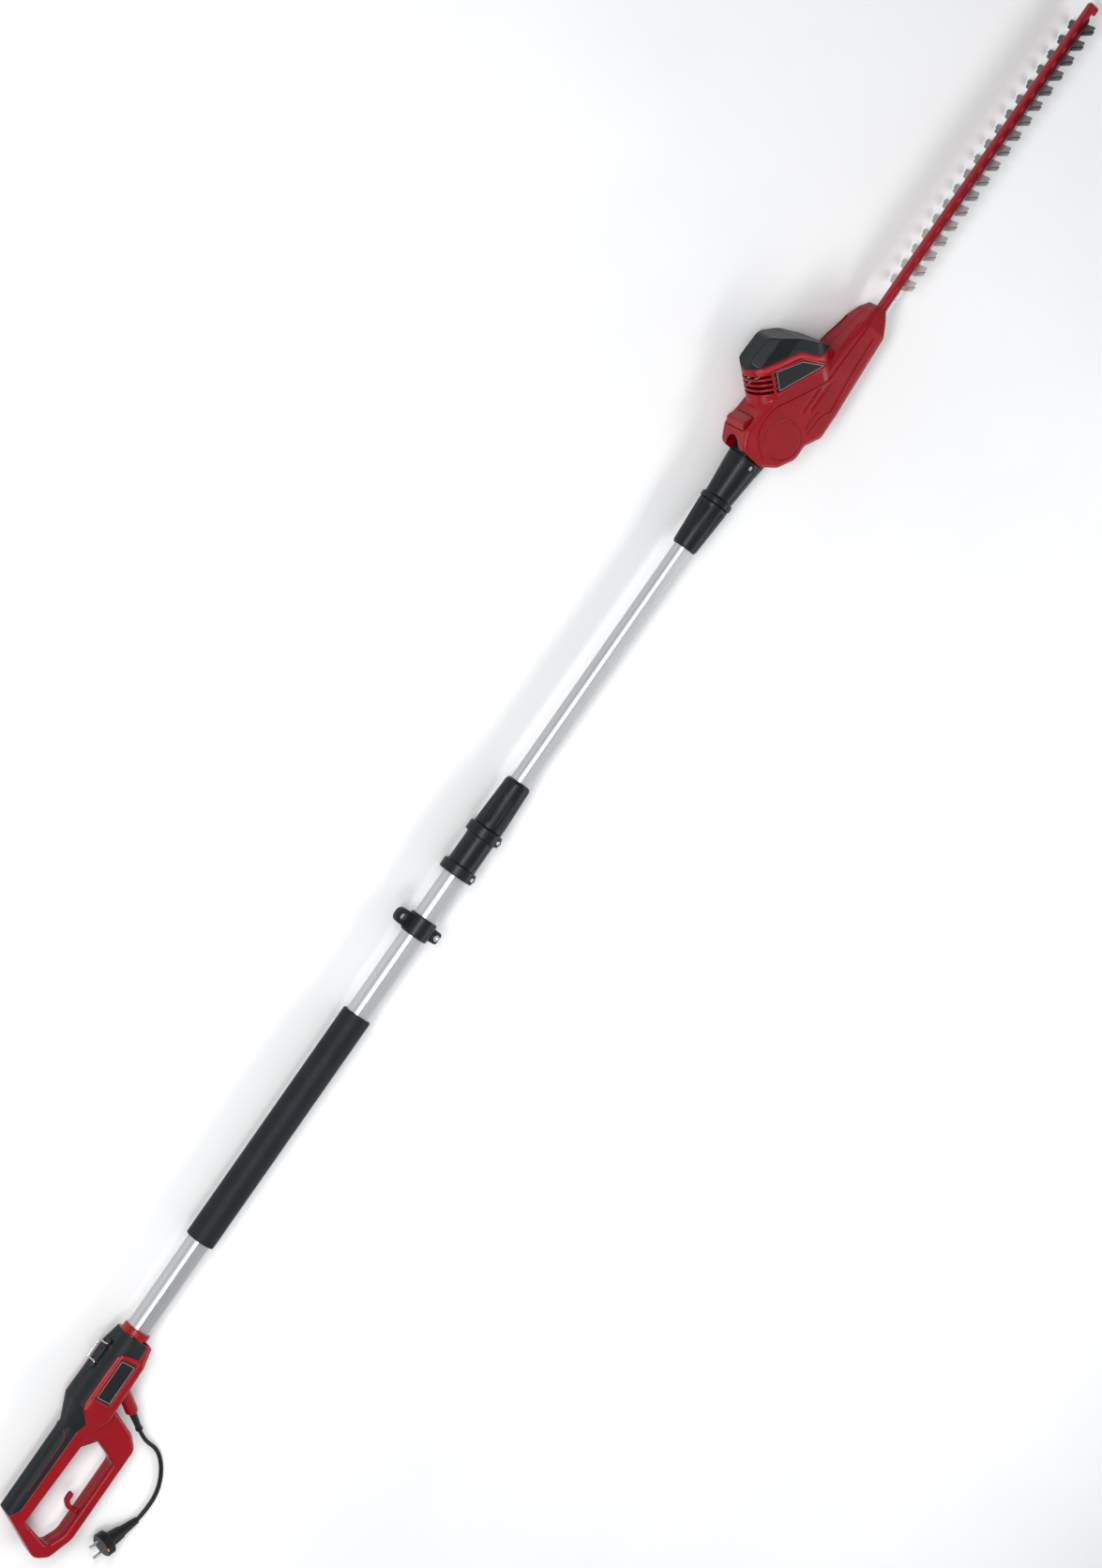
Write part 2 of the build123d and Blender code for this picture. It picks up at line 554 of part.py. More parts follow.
HEAD_PLATE = [(1953, 42), (1972.5, 67), (2013, 37), (2027, 1)]
HEAD_SCREWS = ((1914, 35.5), (1932, -50), (2050, -30), (2104, -29), (2044, -4))
NECK_ARCH_X = 1864.0     # the hood's arch over the neck ends in a round this far forward


def tower_solid(inset):
    """The leaning motor housing: a drum with its axis sloping forward, trimmed by its side outline."""
    face = outline(TOWER_POINTS, TOWER_RADII)
    if inset:
        face = offset(face, amount=-inset)
    radius = SIDE - inset
    slope = radians(LEAN)
    lean = Plane(origin=(1957, 40, 0), x_dir=(sin(slope), -cos(slope), 0), z_dir=(cos(slope), sin(slope), 0))
    reach = SlotCenterToCenter(72, 2 * radius)
    drum = extrude(lean * (Pos(33, 0) * reach), amount=160, both=True)
    crown = [(y - inset, z - inset) for y, z in CROWN]
    outline_yz = polygon(crown + [(y, -z) for y, z in reversed(crown)])
    top = extrude(Plane(origin=(1800, 0, 0), x_dir=(0, 1, 0), z_dir=(1, 0, 0)) * outline_yz, amount=400)
    return slab(face, -radius, radius) & drum & top


def main_solid(inset):
    face = outline(MAIN_POINTS, MAIN_RADII)
    if inset:
        return slab(offset(face, amount=-inset), -SIDE + inset, SIDE - inset)
    return soft_slab(face, SIDE, 6.0)


def head_envelope(inset=0.0):
    snout = through(SNOUT_STATIONS, inset)
    return main_solid(inset) + tower_solid(inset) + snout


def neck_room():
    """Space between the cheeks that the neck sweeps as the head tilts."""
    px, py = PIVOT
    swept = polygon([(1780, 29.8), (1876, 29.8), (px, 27.5), (1921.5, -20), (1921.5, -120), (1780, -120)])
    round_end = cross_pin(px, py, -SIDE + WALL, SIDE - WALL, BARREL_R + 1.2)
    return slab(swept, -SIDE + WALL, SIDE - WALL) + round_end


def vent_grooves():
    """Cooling slots that wrap round the back of the motor housing, square to its axis."""
    slope = radians(LEAN)
    cuts = None
    inner = tower_solid(5.0)
    for index in range(4):
        rise = 13.0 + 8.0 * index
        origin = Vector(1936, 40, 0) + Vector(cos(slope), sin(slope), 0) * rise
        plane = Plane(origin=origin, x_dir=(sin(slope), -cos(slope), 0), z_dir=(cos(slope), sin(slope), 0))
        cut = extrude(plane * (Pos(-6, 0) * Rectangle(64, 120)), amount=3.8)
        cuts = cut if cuts is None else cuts + cut
    return cuts - inner


def make_head_housing():
    envelope = head_envelope()
    inner = head_envelope(WALL)
    cap_zone = slab(polygon([(1900, 200), (1940, 96), *CAP_JOINT, (2064, 200)]), -60, 60)
    walls = envelope - inner
    cap = walls & cap_zone
    write("motor_cap", cap)
    px, py = PIVOT
    bulkhead = pipe((px, py, -30), (px, py, 30), BARREL_R + 3.4, BARREL_R + 1.2)
    bulkhead = bulkhead & block((px + 8, px + 60), (py - 30, py + 34), (-30, 30))
    shell = walls - cap_zone - vent_grooves() + bulkhead
    for x, y in HEAD_SCREWS:
        shell = shell + (cross_pin(x, y, -34, 34, 4.6) & inner)
    shell = shell - neck_room()
    for side in (-1, 1):
        shell = shell + cross_pin(px, py, *sorted((side * 29.6, side * 31)), 14)
        shell = shell - cross_pin(px, py, *sorted((side * (SIDE - COVER), side * (SIDE + 5))), COVER_R + 0.2)
    shell = shell - rod((1820, 21, 0), (NECK_ARCH_X, 21, 0), 21.0) - Pos(NECK_ARCH_X, 21, 0) * Sphere(21.0)
    shell = shell - cross_pin(px, py, -40, 40, 8.0)
    shell = shell - block((2112, 2160), (-54, -36.6), (-11, 11))
    shell = shell - slab(offset(polygon(BUTTON_CAP), amount=GAP + 0.2), -BUTTON_HALF - GAP, BUTTON_HALF + GAP)
    shell = shell - slab(polygon(HEAD_PLATE), SIDE - 1.2, SIDE + 6)
    shell = shell - side_slots()
    screws = []
    for x, y in HEAD_SCREWS:
        head_z = -SIDE + 2.0 if x < 2040 else -24.0
        shell = shell - cross_pin(x, y, -40, head_z + 2.4, 3.7) - cross_pin(x, y, head_z, head_z + 24, 1.95)
        screws.append(screw(x, y, head_z, 24))
    write("head_shell_right", right_of(shell))
    write("head_shell_left", left_of(shell))
    write("head_screws", Compound(children=screws))


def side_slots():
    """Dart-shaped air slots low on each side of the head."""
    slots = None
    for x, low, high in ((1948, -14.6, -10.6), (1958, -25.0, -21.0)):
        dart = polygon([(x, (low + high) / 2), (x + 12, high), (x + 48, high), (x + 57, low + 1.2), (x + 48, low),
                        (x + 12, low)])
        cut = slab(dart, -50, 50)
        slots = cut if slots is None else slots + cut
    return slots - block((1900, 2060), (-60, 60), (-SIDE + 2.2, SIDE - 2.2))


def make_tilt_pieces():
    px, py = PIVOT
    axle = cross_pin(px, py, -SIDE + COVER + 0.2, SIDE - COVER - 0.2, 8.0)
    write("tilt_axle", axle - cross_pin(px, py, -50, 50, 3.0))
    covers = [cross_pin(px, py, *sorted((side * (SIDE - COVER), side * SIDE)), COVER_R) for side in (-1, 1)]
    write("pivot_covers", Compound(children=covers))
    stem = block((px - 10, px - 2), (32, 46), (-6, 6))
    write("tilt_button", slab(polygon(BUTTON_CAP), -BUTTON_HALF, BUTTON_HALF) + stem)


# ---- motor ----------------------------------------------------------------------------------
def make_motor():
    mx = MOTOR_X
    stator = column(mx, 0, 8, 52, 27) - column(mx, 0, 7, 53, 17)
    for side in (-1, 1):
        stator = stator - block((mx - 9, mx + 9), (7, 53), sorted((side * 15, side * 21)))
    write("stator", stator)
    windings = []
    for side in (-1, 1):
        upper = block((mx - 8.8, mx + 8.8), (2, 58), sorted((side * 17.2, side * 20.8)))
        windings.append(upper)
    write("field_coils", Compound(children=windings))
    core = column(mx, 0, 12, 48, 16.2)
    for index in range(12):
        angle = 30 * index
        groove = block((mx + 13, mx + 18), (11, 49), (-0.9, 0.9))
        turn = Pos(mx, 0, 0) * Rot(0, angle, 0) * Pos(-mx, 0, 0)
        core = core - turn * groove
    write("armature", core - column(mx, 0, 0, 60, 4.0))
    write("armature_shaft", column(mx, 0, -43.5, 84, 4.0))
    write("commutator", column(mx, 0, 59, 70, 10.5) - column(mx, 0, 50, 80, 4.0))
    brushes, holders = [], []
    for side in (-1, 1):
        z0, z1 = sorted((side * 10.8, side * 19.0))
        brushes.append(block((mx - 3, mx + 3), (61, 68), (z0, z1)))
        z0, z1 = sorted((side * 12.5, side * 24.0))
        holders.append(block((mx - 5, mx + 5), (59, 70), (z0, z1)) - block((mx - 3, mx + 3), (61, 68), (z0, z1)))
    write("brushes", Compound(children=brushes))
    write("brush_holders", Compound(children=holders))
    bearings = []
    for low in (76.0, -25.0):
        ring = pipe((mx, low, 0), (mx, low + 7, 0), 11.0, 4.0 + RUN)
        bearings.append(ring - (pipe((mx, low - 1, 0), (mx, low + 0.6, 0), 9.0, 6.2)))
    write("motor_bearings", Compound(children=bearings))
    seat = pipe((mx, 75.0, 0), (mx, 84, 0), 14.0, 11.0 + RUN)
    spider = seat + (block((mx - 22, mx + 16), (72.0, 75.0), (-20, 20)) - column(mx, 0, 60, 90, 6.0))
    write("bearing_bridge", spider)
    hub = column(mx, 0, -13, -2, 7.5) + column(mx, 0, -13, -11.5, 25.0)
    for index in range(9):
        blade = block((mx + 6.5, mx + 24.5), (-11.6, -3.0), (-0.8, 0.8))
        hub = hub + Pos(mx, 0, 0) * Rot(0, 40 * index, 0) * Pos(-mx, 0, 0) * blade
    write("cooling_fan", hub - column(mx, 0, -20, 10, 4.0))


# ---- gearbox --------------------------------------------------------------------------------
def tooth_outline(teeth, addendum, dedendum, backlash):
    """Gear outline with straight-flanked stub teeth, first tooth on the +X axis."""
    pitch_radius = MODULE * teeth / 2
    points = []
    base = pitch_radius * cos(radians(20))
    half_tooth = (pi * MODULE / 2 - backlash) / 2 / pitch_radius
    involute_at_pitch = tan(radians(20)) - radians(20)
    for index in range(teeth):
        middle = 2 * pi * index / teeth
        flank = []
        for step in range(5):
            radius = (pitch_radius - dedendum) + (addendum + dedendum) * step / 4
            if radius > base:
                pressure = acos(base / radius)
                spread = half_tooth + involute_at_pitch - (tan(pressure) - pressure)
            else:
                spread = half_tooth + involute_at_pitch
                spread = min(spread, pi / teeth * 0.62)
            flank.append((radius, spread))
        for radius, spread in flank:
            points.append((radius * cos(middle - spread), radius * sin(middle - spread)))
        for radius, spread in reversed(flank):
            points.append((radius * cos(middle + spread), radius * sin(middle + spread)))
    return points


def gear(teeth, x, low, high, phase, backlash=0.25):
    """A spur gear about an upright axis; phase turns its first tooth away from +X."""
    face = polygon(tooth_outline(teeth, MODULE * 0.8, MODULE * 1.05, backlash))
    plane = Plane(origin=(x, low, 0), x_dir=(1, 0, 0), z_dir=(0, 1, 0))
    return extrude(plane * (Rot(0, 0, phase) * face), amount=high - low)


def make_gearbox():
    mx, cx = MOTOR_X, CRANK_X
    write("pinion", gear(PINION_TEETH, mx, -42.5, -30, 180.0 + 180.0 / PINION_TEETH)
          - column(mx, 0, -50, -20, 4.0))
    wheel = gear(GEAR_TEETH, cx, *GEAR_Y, 0.0) + column(cx, 0, -44.5, -29.5, 9.0)
    for index in range(6):
        hole = column(cx + 16.5, 0, -50, -20, 4.0)
        wheel = wheel - Pos(cx, 0, 0) * Rot(0, 60 * index + 30, 0) * Pos(-cx, 0, 0) * hole
    write("drive_gear", wheel - column(cx, 0, -60, -20, 5.0))
    angle = radians(CRANK_REST)
    shift = (CRANK_THROW * sin(angle), CRANK_THROW * cos(angle))
    shaft = column(cx, 0, -61.5, -20, 5.0)
    shaft = shaft + column(cx + shift[0], shift[1], -49.0, UPPER_Y[1] + 0.1, ECCENTRIC_R)
    shaft = shaft + column(cx - shift[0], -shift[1], -51.2, -49.6, ECCENTRIC_R)
    write("crank_shaft", shaft)
    plate = block((1943, 2028), (-28.5, -17), (-26.0, 26.0))
    plate = plate - column(mx, 0, -25.2, -16, 11.0 + RUN) - column(mx, 0, -40, 0, 7.0)
    plate = plate - column(cx, 0, -40, -16, 7.0)
    write("gearbox_plate", plate - block((1990, 2012), (-40, -28.4), (-11, 11)))
    write("crank_bushes", Compound(children=[pipe((cx, -28.5, 0), (cx, -17, 0), 7.0, 5.0 + RUN),
                                             pipe((cx, -61.0, 0), (cx, -53.0, 0), 7.0, 5.0 + RUN)]))
    base = block((1946, 2030), (-55.5, -52.2), (-24.5, 24.5)) + column(cx, 0, -61.0, -53, 10.5)
    write("gearbox_base", base - column(cx, 0, -62, -50, 7.0))


# ---- blades ---------------------------------------------------------------------------------
def blade_outline(side):
    """Side of one blade, from the yoke to the last tooth, as (x, z) corners."""
    tip_x = FIRST_TOOTH_X + PITCH * (TEETH - 1) + TOOTH_ROOT
    points = [(CRANK_X - 25, 0), (CRANK_X - 25, side * 26), (CRANK_X + 25, side * 26), (2024, side * STRIP_HALF)]
    for index in range(TEETH):
        root = FIRST_TOOTH_X + PITCH * index
        points.append((root, side * STRIP_HALF))
        points.append((root + TOOTH_ROOT - TOOTH_TIP - 1.0, side * (TOOTH_TIP_Z - 1.6)))
        points.append((root + TOOTH_ROOT - TOOTH_TIP + 0.8, side * TOOTH_TIP_Z))
        points.append((root + TOOTH_ROOT - 1.6, side * TOOTH_TIP_Z))
        points.append((root + TOOTH_ROOT - 0.2, side * (TOOTH_TIP_Z - 1.6)))
        points.append((root + TOOTH_ROOT, side * STRIP_HALF))
    points.append((tip_x + 4, side * STRIP_HALF))
    points.append((tip_x + 10, side * (STRIP_HALF - 4)))
    points.append((tip_x + 10, 0))
    return points


def blade(levels, shift):
    """One toothed blade: a flat strip with its yoke, slots and teeth on both edges."""
    low, high = levels
    plane = Plane(origin=(0, low, 0), x_dir=(1, 0, 0), z_dir=(0, -1, 0))
    right = [(x, -z) for x, z in blade_outline(1)]
    left = [(x, -z) for x, z in blade_outline(-1)]
    face = polygon(right + left[-2:0:-1])
    body = extrude(plane * face, amount=-(high - low))
    travel = HALF_STROKE + REST_SHIFT + 1.0
    for x in BOLT_XS:
        slot = block((x - travel, x + travel), (low - 1, high + 1), (-BOLT_R - 0.2, BOLT_R + 0.2))
        body = body - slot
    half_x = ECCENTRIC_R + YOKE_CLEAR
    half_z = ECCENTRIC_R + CRANK_THROW + 0.6
    centre = CRANK_X
    yoke = block((centre - half_x, centre + half_x), (low - 1, high + 1), (-half_z, half_z))
    body = body - yoke
    return Pos(shift, 0, 0) * body


def make_blades():
    write("upper_blade", blade(UPPER_Y, REST_SHIFT))
    write("lower_blade", blade(LOWER_Y, -REST_SHIFT))
    x0, x1 = BAR_X
    low, high = BAR_Y
    face = Plane(origin=(x0, 0, 0), x_dir=(0, 1, 0), z_dir=(1, 0, 0)) * outline(
        [(low, -BAR_HALF), (high, -BAR_HALF), (high, BAR_HALF), (low, BAR_HALF)], [0.6, 3.6, 3.6, 0.6])
    bar = extrude(face, amount=x1 - x0 - BAR_HALF)
    tip_x = x1 - BAR_HALF
    nose = column(tip_x, 0, -52.6, high, BAR_HALF)
    nose = fillet(nose.edges().filter_by(GeomType.CIRCLE).sort_by(Axis.Y)[-1], 3.0)
    toe = block((2667.4, tip_x), (-52.6, low + 1), (-BAR_HALF, BAR_HALF))
    bar = bar + nose + toe
    bolts = []
    for x in BOLT_XS:
        bolts.append(column(x, 0, -54.2, -40.5, BOLT_R) + column(x, 0, -54.2, -52.3, 4.4)
                     + column(x, 0, -52.4, -51.55, 6.2))
        bar = bar - column(x, 0, -60, -40.5, BOLT_R)
    write("blade_bar", bar)
    write("blade_bolts", Compound(children=bolts))


# ---- hand over ------------------------------------------------------------------------------
PIECES = {}
LEAD_PIECES = ("mains_lead", "bend_protector", "plug_body", "plug_pins", "earth_contacts")


def write(name, shape):
    PIECES[name] = shape


def base_point():
    """Bottom centre of everything but the lead and what is on it."""
    boxes = [shape.bounding_box() for name, shape in PIECES.items() if name not in LEAD_PIECES]
    low = Vector(min(b.min.X for b in boxes), min(b.min.Y for b in boxes), min(b.min.Z for b in boxes))
    high = Vector(max(b.max.X for b in boxes), max(b.max.Y for b in boxes), max(b.max.Z for b in boxes))
    return Vector((low.X + high.X) / 2, (low.Y + high.Y) / 2, low.Z)


ENVELOPE = handle_envelope()
HOLLOW = handle_envelope(SKIN + WALL)
OPENINGS = handle_openings()
make_handle()
make_controls()
make_strap_ring()
make_name_plates()
make_lead()
make_plug()
make_pole()
make_strap_clamp()
make_telescope_joint()
make_head_coupling()
make_head_housing()
make_tilt_pieces()
make_motor()
make_gearbox()
make_blades()

ORIGIN = base_point()
print("origin in the design frame", [round(value, 3) for value in tuple(ORIGIN)])
for name, shape in PIECES.items():
    export_step(Pos(-ORIGIN.X, -ORIGIN.Y, -ORIGIN.Z) * shape, "parts/" + name + ".step")
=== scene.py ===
import json
from math import cos, hypot, radians, sin

import bmesh
import bpy
from mathutils import Matrix, Vector
from mathutils.bvhtree import BVHTree


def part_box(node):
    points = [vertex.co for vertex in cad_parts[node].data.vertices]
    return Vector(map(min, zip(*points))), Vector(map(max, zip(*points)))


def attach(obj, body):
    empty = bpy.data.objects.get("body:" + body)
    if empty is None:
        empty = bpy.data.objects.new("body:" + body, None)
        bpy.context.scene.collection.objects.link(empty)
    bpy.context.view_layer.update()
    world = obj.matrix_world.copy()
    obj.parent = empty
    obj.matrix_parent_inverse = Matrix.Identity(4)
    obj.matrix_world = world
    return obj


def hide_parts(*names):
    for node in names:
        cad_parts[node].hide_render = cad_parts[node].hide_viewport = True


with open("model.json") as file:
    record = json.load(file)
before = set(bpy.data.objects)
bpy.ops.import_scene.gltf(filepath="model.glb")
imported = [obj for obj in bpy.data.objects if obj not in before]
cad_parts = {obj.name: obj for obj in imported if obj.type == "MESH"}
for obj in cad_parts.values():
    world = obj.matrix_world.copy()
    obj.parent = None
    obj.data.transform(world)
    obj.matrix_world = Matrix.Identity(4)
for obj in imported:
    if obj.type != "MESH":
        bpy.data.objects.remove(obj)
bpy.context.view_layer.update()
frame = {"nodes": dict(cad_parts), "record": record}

NODES = frame["nodes"]
BODY_OF = {node: body for body, nodes in frame["record"]["behaviour"]["bodies"].items() for node in nodes}
SLOT_OF = {row["node"]: row["material_slot"] for row in frame["record"]["subparts"]}

# The CAD's design frame in millimetres: X along the pole, Y to the tool's top, Z to its right side.
SIDE = 33.0
PIVOT = (1903.4, -11.3)
HEAD_PLATE = [(1953, 42), (1972.5, 67), (2013, 37), (2027, 1)]
HANDLE_PLATE = [(216.3, -12.9), (284.7, -12.9), (284.7, 12.9), (216.3, 12.9)]
PLATE_FOOT = SIDE - 1.2
PLATE_CORNER = (*HANDLE_PLATE[0], PLATE_FOOT)
# The point of the design frame that model.glb has at zero, from the name plate's lowest corner.
PACKED_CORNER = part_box("handle_plate")[0]
ORIGIN = tuple(round(design - 1000 * packed, 3) for design, packed in zip(PLATE_CORNER, PACKED_CORNER))
RIDGE_PROUD = 1.3


def at(x, y, z):
    """A point of the design frame, in metres in the row frame."""
    return Vector(((x - ORIGIN[0]) / 1000, (y - ORIGIN[1]) / 1000, (z - ORIGIN[2]) / 1000))


# ---- camera, light and floor ----------------------------------------------------------------
CAMERA_TILT = radians(35)
CAMERA_TURN = radians(55.06)
CAMERA_DISTANCE = 6.3
CAMERA_TARGET = (1310, -31.4, 22)
SENSOR_WIDTH = 36
VIEW_WIDTH = 2.254
FLOOR_HALF = 30
FLOOR_Z = -0.0006


def make_camera():
    tilt, turn = CAMERA_TILT, CAMERA_TURN
    target = at(*CAMERA_TARGET)
    back = Vector((0, sin(tilt), cos(tilt)))
    across = Vector((0, cos(tilt), -sin(tilt)))
    right = Vector((cos(turn), 0, 0)) - sin(turn) * across
    up = Vector((sin(turn), 0, 0)) + cos(turn) * across
    camera = bpy.data.objects.new("camera", bpy.data.cameras.new("camera"))
    bpy.context.scene.collection.objects.link(camera)
    facing = Matrix((right, up, back)).transposed().to_4x4()
    camera.matrix_world = Matrix.Translation(target + back * CAMERA_DISTANCE) @ facing
    camera.data.lens = SENSOR_WIDTH * CAMERA_DISTANCE / VIEW_WIDTH
    camera.data.clip_end = 100
    bpy.context.scene.camera = camera


def area_light(name, place, aim, size, power):
    lamp = bpy.data.lights.new(name, "AREA")
    lamp.shape = "RECTANGLE"
    lamp.size, lamp.size_y = size
    lamp.energy = power
    obj = bpy.data.objects.new(name, lamp)
    bpy.context.scene.collection.objects.link(obj)
    obj.location = place
    obj.rotation_euler = (Vector(aim) - Vector(place)).to_track_quat("-Z", "Y").to_euler()


def make_studio():
    world = bpy.data.worlds.new("studio")
    bpy.context.scene.world = world
    world.use_nodes = True
    sky = world.node_tree.nodes["Background"]
    sky.inputs["Color"].default_value = (0.95, 0.97, 1.0, 1)
    sky.inputs["Strength"].default_value = 0.42
    area_light("key", (-0.4, 1.9, 2.2), (0, 0, 0.03), (2.2, 0.5), 60)
    area_light("rim", (0.3, -1.7, 1.3), (0, -0.02, 0.03), (2.8, 0.35), 22)
    area_light("front", (-1.7, 0.4, 1.5), (-0.9, 0, 0.03), (0.5, 0.9), 8)
    bpy.context.scene.view_settings.view_transform = "Standard"
    mesh = bpy.data.meshes.new("floor")
    corners = [(x * FLOOR_HALF, y * FLOOR_HALF, FLOOR_Z) for x, y in ((-1, -1), (1, -1), (1, 1), (-1, 1))]
    mesh.from_pydata(corners, [], [(0, 1, 2, 3)])
    floor = bpy.data.objects.new("floor", mesh)
    bpy.context.scene.collection.objects.link(floor)
    nodes, links, shader = new_material("floor_paper")
    tone(nodes, links, shader, (0.86, 0.86, 0.86), (0.9, 0.9, 0.9), 3.0)
    shader.inputs["Roughness"].default_value = 0.9
    mesh.materials.append(MATERIALS["floor_paper"])


# ---- materials ------------------------------------------------------------------------------
MATERIALS = {}


def new_material(name):
    material = bpy.data.materials.new(name)
    material.use_nodes = True
    MATERIALS[name] = material
    tree = material.node_tree
    return tree.nodes, tree.links, tree.nodes["Principled BSDF"]


def coordinates(nodes, links, stretch=(1, 1, 1)):
    """Object coordinates, scaled on each axis."""
    source = nodes.new("ShaderNodeTexCoord")
    mapping = nodes.new("ShaderNodeMapping")
    mapping.inputs["Scale"].default_value = stretch
    links.new(source.outputs["Object"], mapping.inputs["Vector"])
    return mapping.outputs["Vector"]


def noise(nodes, links, scale, detail=3.0, stretch=(1, 1, 1)):
    texture = nodes.new("ShaderNodeTexNoise")
    texture.inputs["Scale"].default_value = scale
    texture.inputs["Detail"].default_value = detail
    links.new(coordinates(nodes, links, stretch), texture.inputs["Vector"])
    return texture.outputs["Fac"]


def ramp(nodes, links, factor, stops):
    node = nodes.new("ShaderNodeValToRGB")
    first, last = node.color_ramp.elements
    first.position, first.color = stops[0][0], (*stops[0][1], 1)
    last.position, last.color = stops[-1][0], (*stops[-1][1], 1)
    for place, colour in stops[1:-1]:
        node.color_ramp.elements.new(place).color = (*colour, 1)
    links.new(factor, node.inputs["Fac"])
    return node.outputs["Color"]


def tone(nodes, links, shader, dark, light, scale, stretch=(1, 1, 1)):
    """Slow drift between two close colours."""
    colour = ramp(nodes, links, noise(nodes, links, scale, 4.0, stretch), [(0.3, dark), (0.7, light)])
    links.new(colour, shader.inputs["Base Color"])


def gloss(nodes, links, shader, low, high, scale, stretch=(1, 1, 1)):
    """Roughness that varies over the surface."""
    node = nodes.new("ShaderNodeMapRange")
    node.inputs["To Min"].default_value = low
    node.inputs["To Max"].default_value = high
    links.new(noise(nodes, links, scale, 3.0, stretch), node.inputs["Value"])
    links.new(node.outputs["Result"], shader.inputs["Roughness"])


def grain(nodes, links, shader, height, strength, distance):
    node = nodes.new("ShaderNodeBump")
    node.inputs["Strength"].default_value = strength
    node.inputs["Distance"].default_value = distance
    links.new(height, node.inputs["Height"])
    links.new(node.outputs["Normal"], shader.inputs["Normal"])


def cells(nodes, links, scale, stretch=(1, 1, 1)):
    texture = nodes.new("ShaderNodeTexVoronoi")
    texture.inputs["Scale"].default_value = scale
    links.new(coordinates(nodes, links, stretch), texture.inputs["Vector"])
    return texture.outputs["Distance"]


def plastic(name, dark, light, rough, coat=0.0, texture=1400, relief=0.12):
    nodes, links, shader = new_material(name)
    tone(nodes, links, shader, dark, light, 26)
    gloss(nodes, links, shader, rough[0], rough[1], 90)
    grain(nodes, links, shader, cells(nodes, links, texture), relief, 0.0004)
    shader.inputs["Coat Weight"].default_value = coat
    shader.inputs["Coat Roughness"].default_value = 0.18
    shader.inputs["Specular IOR Level"].default_value = 0.24


def metal(name, dark, light, rough, stretch=(1, 1, 1), relief=0.05, metallic=1.0):
    nodes, links, shader = new_material(name)
    tone(nodes, links, shader, dark, light, 60, stretch)
    gloss(nodes, links, shader, rough[0], rough[1], 300, stretch)
    grain(nodes, links, shader, noise(nodes, links, 1500, 2.0, stretch), relief, 0.0002)
    shader.inputs["Metallic"].default_value = metallic


def blade_material():
    """Stamped steel with a painted reflection near the housing that fades to painted shade towards the tip.
    """
    nodes, links, shader = new_material("steel")
    split = nodes.new("ShaderNodeSeparateXYZ")
    links.new(coordinates(nodes, links), split.inputs["Vector"])
    reach = nodes.new("ShaderNodeMapRange")
    reach.inputs["From Min"].default_value = at(2186, 0, 0).x
    reach.inputs["From Max"].default_value = at(2660, 0, 0).x
    links.new(split.outputs["X"], reach.inputs["Value"])
    # Painted light: this ramp along the blade paints reflected light near the housing and shade towards the
    # tip.
    base = ramp(nodes, links, reach.outputs["Result"],
                [(0.0, (0.66, 0.64, 0.61)), (0.4, (0.4, 0.4, 0.4)), (1.0, (0.1, 0.105, 0.11))])
    mix = nodes.new("ShaderNodeMix")
    mix.data_type = "RGBA"
    mix.blend_type = "MULTIPLY"
    mix.inputs["Factor"].default_value = 0.5
    links.new(base, mix.inputs["A"])
    grooves = noise(nodes, links, 240, 4.0, (0.2, 1, 1))
    streaks = ramp(nodes, links, grooves, [(0.3, (0.7, 0.7, 0.7)), (0.7, (1, 1, 1))])
    links.new(streaks, mix.inputs["B"])
    links.new(mix.outputs["Result"], shader.inputs["Base Color"])
    gloss(nodes, links, shader, 0.28, 0.46, 200)
    grain(nodes, links, shader, noise(nodes, links, 900, 2.0, (0.15, 1, 1)), 0.15, 0.0002)
    shader.inputs["Metallic"].default_value = 0.85


